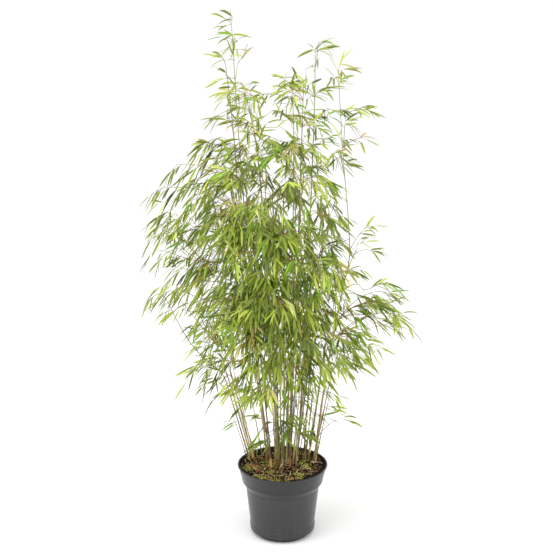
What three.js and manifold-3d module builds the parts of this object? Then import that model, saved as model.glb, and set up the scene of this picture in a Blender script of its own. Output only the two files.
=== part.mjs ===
// Clumping bamboo in a round nursery pot: pot, compost, canes, side branches and foliage masses.
// Millimetres, +Z up. The origin is the centre of the pot's flat underside and -Y faces the viewer.

import * as THREE from 'three';
import { mergeVertices } from 'three/addons/utils/BufferGeometryUtils.js';
import Module from 'manifold-3d';

const wasm = await Module();
wasm.setup();

// Clearance kept between pieces that meet.
const GAP = 0.5;

// Pot: a thin moulded shell with a flared collar, a ring to stand on and a centre boss.
const POT_HEIGHT = 187;
const POT_SIDES = 24;
const WALL = 2.2;
const RIM_RADIUS = 115;
const RIM_HEIGHT = 2.4;
const RIM_OVERHANG = 2;
const COLLAR_HEIGHT = 28;
const COLLAR_FOOT_RADIUS = 106;
const BAND_HEIGHT = 15;
const BAND_FOOT_RADIUS = 103.5;
const STEP_HEIGHT = 15;
const BODY_TOP_RADIUS = 94;
const BODY_FOOT_RADIUS = 83;
const BODY_FOOT_HEIGHT = 34;
const HEM_RADIUS = 84;
const HEM_TOP = 27;
const HEM_FOOT = 12;
const SOIL_FOOT = 17;
const RING_RADIUS = 71;
const RING_WIDTH = 8;
const RING_HEIGHT = 10;
const BASE_UNDERSIDE = 5;
const BASE_TOP = 8;
const BOSS_RADIUS = 18;
const CUTOUT_TOP = 9.5;
const CUTOUT_DEPTH = 12;
const CUTOUT_HALF_ANGLE = THREE.MathUtils.degToRad(30);
const CUTOUT_FACETS = 6;

// Compost: fills the pot to just under the rim, falling a little towards the wall.
const SOIL_TOP = 177;
const SOIL_EDGE_DROP = 4;
const SOIL_SHOULDER = 16;

// Canes. A thickness is a diameter.
const CANE_SIDES = 5;
const CANE_THICKNESS = 5.2;
const CANE_TAPER = 0.62;
const CANE_STEP = 200;
const CANE_REACH = 720;
const CANE_SWAY = 5;
const ENTRY_DEPTH = 12;
const ENTRY_SAMPLES = 120;
const LIMB_STOPS = 6;
const LEADER_THICKNESS = 6;
const LEADER_TAPER = 0.3;
const LEADER_STEP = 150;
const BRANCH_THICKNESS = 3.4;
const BRANCH_TAPER = 0.6;

// Bundles of shorter canes at the compost: centre, half sizes across and deep, and how far the
// outermost cane has spread from its foot, in millimetres for each millimetre of height.
const BUNDLES = [
  { side: 'middle', at: [0, 26], half: [44, 42], count: 11, spread: 0.14, lean: [0, -0.03] },
  { side: 'left', at: [-78, 38], half: [10, 22], count: 4, spread: 0.05, lean: [-0.24, -0.06] },
  { side: 'right', at: [70, 44], half: [17, 24], count: 4, spread: 0.07, lean: [0.13, -0.08] },
];

// Tall leading canes, from the foot at the compost through the points they pass on the way up.
const LEADERS = {
  left_tall: [
    [-40, 30, SOIL_TOP], [-60, 24, 420], [-90, 18, 800], [-103, 18, 975], [-121, 14, 1292],
  ],
  left_hooked: [
    [-28, -12, SOIL_TOP], [-68, -34, 500], [-106, -42, 900], [-119, -38, 1070], [-134, -34, 1205],
  ],
  left_slender: [
    [-14, 52, SOIL_TOP], [-34, 60, 600], [-64, 52, 997], [-80, 52, 1080], [-98, 50, 1150],
  ],
  middle_front: [
    [14, 6, SOIL_TOP], [32, -8, 600], [44, -10, 1000], [48, -8, 1140],
  ],
  middle_back: [
    [20, 66, SOIL_TOP], [24, 78, 600], [27, 80, 1000], [24, 80, 1130],
  ],
  right_tall: [
    [38, 28, SOIL_TOP], [58, 34, 560], [70, 40, 900], [76, 42, 1100], [77, 42, 1225],
  ],
  right_bowed: [
    [84, 20, SOIL_TOP], [106, 2, 400], [141, -14, 625], [163, -20, 750], [150, -20, 900],
    [129, -16, 1185],
  ],
};

// Foliage masses: centre, half sizes along X, Y and Z, and how far the outer edge hangs.
const MASSES = {
  tuft_left_tall: { at: [-119, 14, 1241], half: [27, 30, 78], droop: 0 },
  tuft_left_neck: { at: [-121, -10, 1098], half: [42, 52, 64], droop: 0 },
  tuft_left_slender: { at: [-70, 60, 1090], half: [26, 36, 54], droop: 0 },
  tuft_middle: { at: [34, 30, 1090], half: [52, 66, 72], droop: 0 },
  tuft_right_tall: { at: [80, 40, 1180], half: [34, 32, 66], droop: 0 },
  tuft_right_side: { at: [132, -18, 1120], half: [34, 38, 88], droop: 0 },
  sprig_right: { at: [196, -26, 780], half: [20, 24, 52], droop: 10 },
  sprig_right_low: { at: [122, -34, 332], half: [32, 36, 56], droop: 20 },
  crown_left_arch: { at: [-218, 10, 946], half: [94, 80, 66], droop: 74 },
  crown_left: { at: [-112, 6, 950], half: [66, 88, 82], droop: 0 },
  crown_middle: { at: [8, 6, 945], half: [64, 92, 92], droop: 0 },
  crown_right: { at: [100, 0, 930], half: [46, 84, 98], droop: 0 },
  left_upper: { at: [-224, 0, 800], half: [100, 88, 88], droop: 78 },
  left_middle: { at: [-220, -6, 655], half: [98, 96, 82], droop: 80 },
  left_lower: { at: [-178, -4, 480], half: [72, 84, 92], droop: 52 },
  front_upper: { at: [-66, -122, 792], half: [92, 76, 100], droop: 20 },
  front_middle: { at: [-52, -140, 618], half: [98, 82, 88], droop: 30 },
  front_lower: { at: [-44, -116, 462], half: [86, 72, 80], droop: 30 },
  front_right_upper: { at: [72, -104, 742], half: [66, 76, 112], droop: 20 },
  front_right_lower: { at: [74, -116, 530], half: [70, 74, 96], droop: 30 },
  right_upper: { at: [112, 34, 770], half: [44, 84, 74], droop: 0 },
  right_lobe: { at: [232, -36, 594], half: [84, 62, 54], droop: 46 },
  right_lower: { at: [164, 14, 470], half: [70, 84, 72], droop: 30 },
  back_left_upper: { at: [-118, 152, 806], half: [94, 78, 124], droop: 20 },
  back_right_upper: { at: [58, 158, 800], half: [86, 76, 128], droop: 20 },
  back_left_lower: { at: [-106, 146, 556], half: [96, 80, 122], droop: 30 },
  back_right_lower: { at: [74, 152, 548], half: [92, 80, 122], droop: 30 },
};
const MASS_DETAIL = 2;
const SWELL = 0.12;
const POINTS = 0.08;

// Side branches that leave a leading cane and carry an outlying mass.
const BRANCHES = {
  branch_right_lobe: { leader: 'right_bowed', from: 0.44, towards: 'right_lobe', rise: 48 },
  branch_right_sprig: { leader: 'right_bowed', from: 0.5, towards: 'sprig_right', rise: 16 },
  branch_left_arch: { leader: 'left_tall', from: 0.5, towards: 'crown_left_arch', rise: 26 },
  branch_left_middle: { leader: 'left_hooked', from: 0.4, towards: 'left_middle', rise: 22 },
};

const FINISHES = {
  plastic: { color: 0x3a3a3c, roughness: 0.45 },
  compost: { color: 0x2f2216, roughness: 0.95 },
  cane: { color: 0x7d7446, roughness: 0.5 },
  leaf: { color: 0x6f8a35, roughness: 0.6 },
};

const group = new THREE.Group();

// Adds one named mesh with a material of its own.
function addNode(name, geometry, finish) {
  const material = new THREE.MeshStandardMaterial({ ...FINISHES[finish], metalness: 0 });
  const mesh = new THREE.Mesh(geometry, material);
  mesh.name = name;
  group.add(mesh);
}

// Keeps only the positions of a geometry, with shared corners merged.
function weld(geometry) {
  const bare = geometry.clone();
  bare.deleteAttribute('normal');
  bare.deleteAttribute('uv');
  return mergeVertices(bare);
}

function toSolid(geometry) {
  const welded = weld(geometry);
  return new wasm.Manifold(new wasm.Mesh({
    numProp: 3,
    vertProperties: new Float32Array(welded.attributes.position.array),
    triVerts: new Uint32Array(welded.index.array),
  }));
}

function toGeometry(solid) {
  const mesh = solid.getMesh();
  const geometry = new THREE.BufferGeometry();
  geometry.setAttribute('position', new THREE.BufferAttribute(mesh.vertProperties, mesh.numProp));
  geometry.setIndex(new THREE.BufferAttribute(mesh.triVerts, 1));
  return geometry;
}

// The same shape with every corner moved outwards by the clearance.
function grown(geometry) {
  const fuller = weld(geometry);
  fuller.computeVertexNormals();
  const { position, normal } = fuller.attributes;
  for (let i = 0; i < position.count; i += 1) {
    position.setXYZ(
      i,
      position.getX(i) + GAP * normal.getX(i),
      position.getY(i) + GAP * normal.getY(i),
      position.getZ(i) + GAP * normal.getZ(i),
    );
  }
  return fuller;
}

// Turns a closed profile of [radius, height] points about Z.
function turned(profile, sides) {
  const points = profile.map(([radius, height]) => new THREE.Vector2(radius, height));
  return new THREE.LatheGeometry(points, sides).rotateX(Math.PI / 2);
}

function potShell() {
  const collarFoot = POT_HEIGHT - COLLAR_HEIGHT;
  const bandFoot = collarFoot - BAND_HEIGHT;
  const bodyTop = bandFoot - STEP_HEIGHT;
  return turned([
    [0, 0],
    [BOSS_RADIUS, 0],
    [BOSS_RADIUS, BASE_UNDERSIDE],
    [RING_RADIUS - RING_WIDTH, BASE_UNDERSIDE],
    [RING_RADIUS - RING_WIDTH, 0],
    [RING_RADIUS, 0],
    [RING_RADIUS, RING_HEIGHT],
    [HEM_RADIUS - WALL, RING_HEIGHT],
    [HEM_RADIUS, HEM_FOOT],
    [HEM_RADIUS, HEM_TOP],
    [BODY_FOOT_RADIUS, BODY_FOOT_HEIGHT],
    [BODY_TOP_RADIUS, bodyTop],
    [BAND_FOOT_RADIUS, bandFoot],
    [COLLAR_FOOT_RADIUS, collarFoot],
    [RIM_RADIUS - RIM_OVERHANG, POT_HEIGHT - RIM_HEIGHT],
    [RIM_RADIUS, POT_HEIGHT - RIM_HEIGHT],
    [RIM_RADIUS, POT_HEIGHT],
    [RIM_RADIUS - RIM_OVERHANG - WALL, POT_HEIGHT],
    [COLLAR_FOOT_RADIUS - WALL, collarFoot + WALL],
    [BODY_TOP_RADIUS - WALL, bodyTop + WALL],
    [BODY_FOOT_RADIUS - WALL, BODY_FOOT_HEIGHT],
    [HEM_RADIUS - WALL, HEM_FOOT + WALL],
    [RING_RADIUS, RING_HEIGHT + WALL],
    [RING_RADIUS - WALL, BASE_TOP],
    [0, BASE_TOP],
  ], POT_SIDES);
}

// A curved block through the standing ring on one side, open to the inside as a drain.
function ringCutout(towards) {
  const start = towards - CUTOUT_HALF_ANGLE;
  const end = towards + CUTOUT_HALF_ANGLE;
  const sector = new THREE.Shape();
  sector.absarc(0, 0, RING_RADIUS + RING_WIDTH, start, end, false);
  sector.absarc(0, 0, RING_RADIUS - CUTOUT_DEPTH, end, start, true);
  const settings = { depth: 2 * CUTOUT_TOP, bevelEnabled: false, curveSegments: CUTOUT_FACETS };
  return new THREE.ExtrudeGeometry(sector, settings).translate(0, 0, -CUTOUT_TOP);
}

function pot() {
  return toGeometry(toSolid(potShell())
    .subtract(toSolid(ringCutout(0)))
    .subtract(toSolid(ringCutout(Math.PI))));
}

function soil() {
  const clear = WALL + 2 * GAP;
  const collarFoot = POT_HEIGHT - COLLAR_HEIGHT;
  const bandFoot = collarFoot - BAND_HEIGHT;
  const edge = SOIL_TOP - SOIL_EDGE_DROP;
  const flare = (RIM_RADIUS - RIM_OVERHANG - COLLAR_FOOT_RADIUS) / COLLAR_HEIGHT;
  const edgeRadius = COLLAR_FOOT_RADIUS + flare * (edge - collarFoot - WALL) - clear;
  return turned([
    [0, SOIL_FOOT],
    [BODY_FOOT_RADIUS - 2 * clear, SOIL_FOOT + WALL],
    [BODY_TOP_RADIUS - clear, bandFoot - STEP_HEIGHT + WALL],
    [COLLAR_FOOT_RADIUS - clear, collarFoot + WALL],
    [edgeRadius, edge],
    [edgeRadius - SOIL_SHOULDER, SOIL_TOP],
    [0, SOIL_TOP],
  ], POT_SIDES);
}

// A tapering limb with closed ends, bent along a curve.
function limb(curve, thickness, taper, step) {
  const steps = Math.max(2, Math.round(curve.getLength() / step));
  const footRadius = 0.5 * thickness;
  const straight = new THREE.CylinderGeometry(footRadius * taper, footRadius, 1, CANE_SIDES, steps);
  const position = straight.attributes.position;
  const side = new THREE.Vector3();
  const across = new THREE.Vector3();
  for (let i = 0; i < position.count; i += 1) {
    const along = position.getY(i) + 0.5;
    const tangent = curve.getTangent(along);
    side.set(1, 0, 0).addScaledVector(tangent, -tangent.x).normalize();
    across.crossVectors(side, tangent);
    const corner = curve.getPoint(along)
      .addScaledVector(side, position.getX(i))
      .addScaledVector(across, position.getZ(i));
    position.setXYZ(i, corner.x, corner.y, corner.z);
  }
  return straight;
}

// Radius multiplier of a mass in one direction: slow swells with leafy points on them.
function unevenness(direction, seed) {
  const swell = Math.sin(2.3 * direction.x + 1.9 * direction.z + seed)
    * Math.cos(2.1 * direction.y - 1.3 * direction.z + 1.7 * seed);
  const points = Math.sin(6 * Math.atan2(direction.y, direction.x) + 3 * seed)
    * Math.sin(5 * direction.z + seed);
  return 1 + SWELL * swell + POINTS * points;
}

// One uneven foliage mass, whose side away from the plant's middle hangs down.
function mass({ at, half, droop }, seed) {
  const geometry = weld(new THREE.IcosahedronGeometry(1, MASS_DETAIL));
  const outward = new THREE.Vector2(at[0], at[1]).normalize();
  const position = geometry.attributes.position;
  const direction = new THREE.Vector3();
  for (let i = 0; i < position.count; i += 1) {
    direction.fromBufferAttribute(position, i).normalize();
    const reach = unevenness(direction, seed);
    const hang = Math.max(0, direction.x * outward.x + direction.y * outward.y);
    position.setXYZ(
      i,
      at[0] + half[0] * reach * direction.x,
      at[1] + half[1] * reach * direction.y,
      at[2] + half[2] * reach * direction.z - droop * hang * hang,
    );
  }
  return geometry;
}

function curveThrough(points) {
  return new THREE.CatmullRomCurve3(points.map((point) => new THREE.Vector3(...point)));
}

// The shorter canes' centrelines: each bundle is filled by the golden angle and opens as it rises.
function caneCurves() {
  const goldenAngle = Math.PI * (3 - Math.sqrt(5));
  return BUNDLES.flatMap(({ side, at, half, count, spread, lean }, bundle) => (
    Array.from({ length: count }, (_, k) => {
      const radius = Math.sqrt((k + 0.5) / count);
      const angle = goldenAngle * k + bundle;
      const across = radius * Math.cos(angle);
      const deep = radius * Math.sin(angle);
      const points = [0, 0.25, 0.5, 0.75, 1].map((rise) => {
        const height = rise * CANE_REACH;
        const sway = CANE_SWAY * Math.sin(3 * rise + k) * rise;
        return [
          at[0] + half[0] * across + height * (spread * across + lean[0]) + sway,
          at[1] + half[1] * deep + height * (spread * deep + lean[1]),
          SOIL_TOP + GAP + height,
        ];
      });
      return { name: `cane_${side}_${k + 1}`, curve: curveThrough(points) };
    })
  ));
}

// How far along a curve, from 0 to 1, it first enters one of the meshes.
function entry(curve, meshes) {
  const raycaster = new THREE.Raycaster();
  for (let i = 0; i < ENTRY_SAMPLES; i += 1) {
    const from = curve.getPoint(i / ENTRY_SAMPLES);
    const to = curve.getPoint((i + 1) / ENTRY_SAMPLES);
    raycaster.far = from.distanceTo(to);
    raycaster.set(from, to.sub(from).normalize());
    if (raycaster.intersectObjects(meshes, false).length > 0) return i / ENTRY_SAMPLES;
  }
  return 1;
}

// The first part of a curve, up to where it enters one of the meshes and a little way in.
function shownPart(curve, meshes) {
  const end = Math.min(1, entry(curve, meshes) + ENTRY_DEPTH / curve.getLength());
  const points = Array.from({ length: LIMB_STOPS + 1 }, (_, i) => (
    curve.getPoint(end * (i / LIMB_STOPS))
  ));
  return new THREE.CatmullRomCurve3(points);
}

function build() {
  const leaderCurves = Object.fromEntries(Object.entries(LEADERS).map(([name, way]) => {
    const [foot, ...rest] = way;
    return [name, curveThrough([[foot[0], foot[1], foot[2] + GAP], ...rest])];
  }));
  const leaders = Object.entries(leaderCurves).map(([name, curve]) => (
    [`leader_${name}`, limb(curve, LEADER_THICKNESS, LEADER_TAPER, LEADER_STEP)]
  ));
  const masses = Object.entries(MASSES).map(([name, spec], seed) => [`foliage_${name}`, mass(spec, seed)]);

  const leaderSpace = leaders.map(([, geometry]) => toSolid(grown(geometry)));
  const massSpace = masses.map(([, geometry]) => toSolid(grown(geometry)));
  const massMeshes = masses.map(([name, geometry]) => {
    const mesh = new THREE.Mesh(geometry, new THREE.MeshBasicMaterial({ side: THREE.DoubleSide }));
    mesh.name = name;
    return mesh;
  });
  const clearOf = (solid, spaces) => spaces.reduce((left, space) => left.subtract(space), solid);

  addNode('pot', pot(), 'plastic');
  addNode('soil', soil(), 'compost');
  leaders.forEach(([name, geometry]) => addNode(name, geometry, 'cane'));

  caneCurves().forEach(({ name, curve }) => {
    const shown = shownPart(curve, massMeshes);
    const cane = toSolid(limb(shown, CANE_THICKNESS, CANE_TAPER, CANE_STEP));
    addNode(name, toGeometry(clearOf(cane, [...massSpace, ...leaderSpace])), 'cane');
  });

  Object.entries(BRANCHES).forEach(([name, { leader, from, towards, rise }]) => {
    const start = leaderCurves[leader].getPoint(from);
    const end = new THREE.Vector3(...MASSES[towards].at);
    const middle = start.clone().lerp(end, 0.5).setZ(0.5 * (start.z + end.z) + rise);
    const curve = new THREE.CatmullRomCurve3([start, middle, end]);
    const shown = shownPart(curve, massMeshes.filter((mesh) => mesh.name === `foliage_${towards}`));
    const branch = toSolid(limb(shown, BRANCH_THICKNESS, BRANCH_TAPER, CANE_STEP));
    addNode(name, toGeometry(clearOf(branch, [...massSpace, ...leaderSpace])), 'cane');
  });

  masses.forEach(([name, geometry], i) => {
    const left = clearOf(toSolid(geometry), [...leaderSpace, ...massSpace.slice(0, i)]);
    addNode(name, toGeometry(left), 'leaf');
  });
}

build();

export default group;
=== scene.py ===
"""Potted clumping bamboo: canes, twigs, leaves, compost and pot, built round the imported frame.

Every length is in metres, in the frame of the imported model: +Z up, -Y towards the viewer and the
origin in the middle of the pot's underside.
"""

import logging
import math
from dataclasses import dataclass, field, replace
from enum import Enum
from functools import partial
from typing import Callable, ClassVar, Iterable, Sequence

import bmesh
import bpy
import numpy as np
from mathutils import Euler, Matrix, Vector, noise
from mathutils.bvhtree import BVHTree


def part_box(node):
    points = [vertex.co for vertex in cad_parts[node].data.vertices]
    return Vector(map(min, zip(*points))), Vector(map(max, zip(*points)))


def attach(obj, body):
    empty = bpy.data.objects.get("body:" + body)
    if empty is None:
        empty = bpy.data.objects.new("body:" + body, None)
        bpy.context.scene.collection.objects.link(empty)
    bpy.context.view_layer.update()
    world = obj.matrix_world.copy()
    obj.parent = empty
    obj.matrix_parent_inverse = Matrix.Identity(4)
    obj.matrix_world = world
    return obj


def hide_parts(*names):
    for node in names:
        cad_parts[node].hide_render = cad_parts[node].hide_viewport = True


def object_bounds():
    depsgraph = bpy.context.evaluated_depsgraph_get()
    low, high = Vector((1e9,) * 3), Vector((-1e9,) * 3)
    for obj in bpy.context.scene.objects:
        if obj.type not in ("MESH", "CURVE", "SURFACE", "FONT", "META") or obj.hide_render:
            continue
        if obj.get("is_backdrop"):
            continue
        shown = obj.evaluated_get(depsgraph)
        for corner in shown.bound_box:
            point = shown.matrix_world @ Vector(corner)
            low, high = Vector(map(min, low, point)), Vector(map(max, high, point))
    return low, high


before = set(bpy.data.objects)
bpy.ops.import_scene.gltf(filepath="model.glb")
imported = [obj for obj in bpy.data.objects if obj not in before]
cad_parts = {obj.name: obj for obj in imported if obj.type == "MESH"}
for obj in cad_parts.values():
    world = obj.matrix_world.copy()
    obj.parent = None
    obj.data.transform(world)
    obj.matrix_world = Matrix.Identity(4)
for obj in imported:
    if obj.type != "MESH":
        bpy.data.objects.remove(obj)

LOG = logging.getLogger("bamboo")
SEED = 20
UP = np.array((0.0, 0.0, 1.0))
LEVEL = np.array((1.0, 1.0, 0.0))
MM = 0.001
OVERHANG = 8 * MM
OVERHANG_SHARE = 0.02
Colour = tuple[float, float, float]


def from_screen(red: int, green: int, blue: int) -> Colour:
    """Turns a colour in 0-255 screen values into the linear values that a shader takes.

    Args:
        red, green, blue: the screen values.

    Returns:
        The linear red, green and blue.
    """
    def linear(value: int) -> float:
        """One channel, by the sRGB curve."""
        part = value / 255
        return part / 12.92 if part <= 0.04045 else ((part + 0.055) / 1.055) ** 2.4
    return linear(red), linear(green), linear(blue)


def unit(vector: np.ndarray) -> np.ndarray:
    """The vector, or each row of an array of vectors, at length one."""
    length = np.linalg.norm(vector, axis=-1, keepdims=True)
    return vector / np.maximum(length, 1e-9)


# --------------------------------------------------------------------------- shader maths


class Shade:
    """A shader socket that works as a number in Python expressions."""

    def __init__(self, paint: "Paint", socket: bpy.types.NodeSocket) -> None:
        """Wraps a socket of the paint's node tree."""
        self.paint = paint
        self.socket = socket

    def _math(self, operation: str, first: object, second: object) -> "Shade":
        """Adds one Math node."""
        made = self.paint.node("ShaderNodeMath", {"operation": operation}, {0: first, 1: second})
        return Shade(self.paint, made.outputs[0])

    def __add__(self, other: object) -> "Shade":
        """self + other."""
        return self._math("ADD", self, other)

    def __radd__(self, other: object) -> "Shade":
        """other + self."""
        return self._math("ADD", other, self)

    def __rsub__(self, other: object) -> "Shade":
        """other - self."""
        return self._math("SUBTRACT", other, self)

    def __mul__(self, other: object) -> "Shade":
        """self * other."""
        return self._math("MULTIPLY", self, other)

    def over(self, edge: float, softness: float) -> "Shade":
        """A mask that rises from 0 to 1 as the value passes an edge.

        Args:
            edge: the value where the rise starts.
            softness: how much further the value goes before the mask is 1.

        Returns:
            The mask.
        """
        ramp = self.paint.node(
            "ShaderNodeMapRange",
            {"interpolation_type": "SMOOTHSTEP", "clamp": True},
            {"Value": self, "From Min": edge, "From Max": edge + softness},
        )
        return Shade(self.paint, ramp.outputs["Result"])


class Paint:
    """One material under construction: a Principled shader and the nodes that feed it."""

    def __init__(self, name: str) -> None:
        """Starts an empty material of that name."""
        self.material = bpy.data.materials.new(name)
        self.material.use_nodes = True
        self.tree = self.material.node_tree
        self.shader = self.tree.nodes["Principled BSDF"]

    def node(
        self, kind: str, settings: dict[str, object], inputs: dict[object, object]
    ) -> bpy.types.Node:
        """Adds a node of any kind.

        Args:
            kind: the node's type.
            settings: its own properties, set before its sockets.
            inputs: socket name or number to a value, a Shade or a socket.

        Returns:
            The node.
        """
        made = self.tree.nodes.new(kind)
        for name, value in settings.items():
            setattr(made, name, value)
        for key, value in inputs.items():
            self.join(value, made.inputs[key])
        return made

    def join(self, value: object, target: bpy.types.NodeSocket) -> None:
        """Links a Shade or a socket to a target socket, or sets a plain value on it."""
        if isinstance(value, Shade):
            self.tree.links.new(value.socket, target)
        elif isinstance(value, bpy.types.NodeSocket):
            self.tree.links.new(value, target)
        else:
            target.default_value = value

    def place(self, stretch: tuple[float, float, float] = (1, 1, 1)) -> bpy.types.NodeSocket:
        """Object coordinates, stretched along the axes."""
        where = self.node("ShaderNodeTexCoord", {}, {}).outputs["Object"]
        return self.node("ShaderNodeMapping", {}, {"Vector": where, "Scale": stretch}).outputs[0]

    def height(self) -> Shade:
        """The height over the floor, in metres."""
        where = self.node("ShaderNodeTexCoord", {}, {}).outputs["Object"]
        return Shade(self, self.node("ShaderNodeSeparateXYZ", {}, {0: where}).outputs["Z"])

    def noise(
        self, place: bpy.types.NodeSocket, scale: float, detail: float = 3, rough: float = 0.55
    ) -> Shade:
        """Cloudy noise from 0 to 1 at a place."""
        inputs = {"Vector": place, "Scale": scale, "Detail": detail, "Roughness": rough}
        return Shade(self, self.node("ShaderNodeTexNoise", {}, inputs).outputs[0])

    def cells(self, place: bpy.types.NodeSocket, scale: float) -> Shade:
        """Distance to the nearest of a field of scattered points."""
        inputs = {"Vector": place, "Scale": scale}
        return Shade(self, self.node("ShaderNodeTexVoronoi", {}, inputs).outputs[0])

    def blend(self, mask: object, low: object, high: object) -> bpy.types.NodeSocket:
        """Mixes two colours by a mask.

        Args:
            mask: where the second colour shows.
            low: the colour where the mask is 0, as linear values or a socket.
            high: the colour where the mask is 1.

        Returns:
            The mixed colour's socket.
        """
        def whole(colour: object) -> object:
            """A plain colour with its alpha."""
            return (*colour, 1) if isinstance(colour, tuple) else colour
        mixed = self.node(
            "ShaderNodeMix", {"data_type": "RGBA", "clamp_factor": True},
            {"Factor": mask, 6: whole(low), 7: whole(high)},
        )
        return mixed.outputs[2]

    def relief(self, height: Shade, depth: float, strength: float = 1.0) -> None:
        """Feeds the shader's normal from a height between 0 and 1 and its depth in metres."""
        inputs = {"Height": height, "Distance": depth, "Strength": strength}
        bump = self.node("ShaderNodeBump", {}, inputs)
        self.join(bump.outputs["Normal"], self.shader.inputs["Normal"])

    def finish(self, **sockets: object) -> bpy.types.Material:
        """Sets the shader's sockets and ends the material.

        Args:
            sockets: Principled socket names, with _ for a space, to values or links.

        Returns:
            The finished material.
        """
        for name, value in sockets.items():
            plain = (*value, 1) if isinstance(value, tuple) and len(value) == 3 else value
            self.join(plain, self.shader.inputs[name.replace("_", " ")])
        return self.material


# --------------------------------------------------------------------------- finishes


@dataclass(frozen=True)
class PotPlastic:
    """Dark moulded plastic, satin, with faint upright flow streaks, a little dust and a painted
    shade on the collar.
    """

    base: Colour = from_screen(40, 39, 42)
    streak: Colour = from_screen(48, 47, 49)
    dust: Colour = from_screen(74, 70, 67)
    # painted shade: a darker tone painted over the collar, standing in for the shadow that falls on
    # it under the rim
    collar: Colour = from_screen(24, 23, 25)
    painted_shade_from: float = 122 * MM
    painted_shade_over: float = 8 * MM

    def make(self) -> bpy.types.Material:
        """The pot's material."""
        paint = Paint("pot_plastic")
        streaks = paint.noise(paint.place((1, 1, 0.08)), scale=70, detail=4)
        clouds = paint.noise(paint.place(), scale=26, detail=5, rough=0.6)
        grain = paint.noise(paint.place(), scale=1500, detail=2)
        colour = paint.blend(streaks.over(0.42, 0.3), self.base, self.streak)
        colour = paint.blend(clouds.over(0.6, 0.25) * 0.25, colour, self.dust)
        # painted shade: above this height the colour blends towards the darker collar tone, for the
        # shadow on the downward-facing collar
        high = paint.height().over(self.painted_shade_from, self.painted_shade_over)
        colour = paint.blend(high * 0.9, colour, self.collar)
        paint.relief(grain * 0.5 + streaks * 0.5, depth=0.15 * MM, strength=0.3)
        rough = 0.24 + clouds * 0.14
        return paint.finish(Base_Color=colour, Roughness=rough, Specular_IOR_Level=0.5)


@dataclass(frozen=True)
class Compost:
    """Damp dark compost with browner crumbs, pale fibres and green moss specks."""

    dark: Colour = from_screen(9, 6, 4)
    brown: Colour = from_screen(44, 31, 19)
    fibre: Colour = from_screen(150, 122, 80)
    moss: Colour = from_screen(112, 122, 44)

    def make(self) -> bpy.types.Material:
        """The compost's material."""
        paint = Paint("compost")
        lumps = paint.cells(paint.place(), scale=190)
        fine = paint.noise(paint.place(), scale=420, detail=4, rough=0.65)
        patches = paint.noise(paint.place(), scale=34, detail=2)
        colour = paint.blend(fine.over(0.42, 0.25), self.dark, self.brown)
        colour = paint.blend(fine.over(0.64, 0.05) * 0.8, colour, self.fibre)
        mossy = patches.over(0.56, 0.1) * fine.over(0.46, 0.1) * 0.75
        colour = paint.blend(mossy, colour, self.moss)
        paint.relief((1 - lumps) * 0.6 + fine * 0.4, depth=2.2 * MM)
        return paint.finish(Base_Color=colour, Roughness=0.92, Specular_IOR_Level=0.2)


@dataclass(frozen=True)
class Bark:
    """A cane's smooth skin: one tint low down, greener above, with long dark streaks."""

    name: str
    low: Colour
    high: Colour
    stain: Colour
    turns_at: float = 0.42

    def make(self) -> bpy.types.Material:
        """The cane's material."""
        paint = Paint(f"cane_{self.name}")
        long_streaks = paint.noise(paint.place((1, 1, 0.06)), scale=420)
        blotches = paint.noise(paint.place((1, 1, 0.4)), scale=60)
        rise = paint.height() + blotches * 0.2
        colour = paint.blend(rise.over(self.turns_at, 0.3), self.low, self.high)
        colour = paint.blend(blotches.over(0.52, 0.2) * 0.55, colour, self.stain)
        colour = paint.blend(long_streaks.over(0.5, 0.2) * 0.3, colour, self.stain)
        paint.relief(long_streaks, depth=0.12 * MM, strength=0.6)
        rough = 0.34 + blotches * 0.2
        return paint.finish(Base_Color=colour, Roughness=rough, Specular_IOR_Level=0.5)


@dataclass(frozen=True)
class Plain:
    """One even tint for a small thing whose colour is dealt out piece by piece."""

    name: str
    tint: Colour
    roughness: float = 0.6
    shine: float = 0.3

    def make(self) -> bpy.types.Material:
        """A material whose numbers are all set on the shader itself."""
        return Paint(self.name).finish(
            Base_Color=self.tint, Roughness=self.roughness, Specular_IOR_Level=self.shine
        )


class Leaf(Enum):
    """The greens that leaves come in, each with its tint and how often it is dealt."""

    DARK = (from_screen(80, 99, 18), 0.10)
    DEEP = (from_screen(102, 121, 24), 0.16)
    MOSSY = (from_screen(123, 140, 34), 0.17)
    GRASS = (from_screen(139, 158, 40), 0.19)
    FRESH = (from_screen(160, 179, 54), 0.15)
    BRIGHT = (from_screen(123, 164, 34), 0.07)
    LIGHT = (from_screen(182, 198, 80), 0.07)
    PALE = (from_screen(200, 206, 122), 0.04)
    OLIVE = (from_screen(150, 146, 66), 0.05)
    YELLOW = (from_screen(202, 190, 88), 0.01)
    STRAW = (from_screen(192, 166, 112), 0.006)

    @property
    def tint(self) -> Colour:
        """The leaf's base colour."""
        return self.value[0]

    @property
    def share(self) -> float:
        """How often it is dealt."""
        return self.value[1]


class Litter(Enum):
    """Tints of the small dry and mossy things on the compost."""

    BLACK = from_screen(15, 10, 7)
    BROWN = from_screen(52, 37, 22)
    RUST = from_screen(162, 108, 68)
    TAN = from_screen(198, 166, 118)
    CREAM = from_screen(222, 206, 162)
    MOSS = from_screen(168, 178, 54)
    LIME = from_screen(222, 228, 104)

    @property
    def slot(self) -> int:
        """Its place among the litter materials."""
        return list(Litter).index(self)


DRY = (Litter.TAN, Litter.CREAM, Litter.RUST)


def pick(shares: dict[Litter, float], rng: np.random.Generator) -> Litter:
    """One kind of litter, by how often each is wanted."""
    return list(shares)[int(rng.choice(len(shares), p=list(shares.values())))]


# --------------------------------------------------------------------------- meshes from arrays


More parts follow.
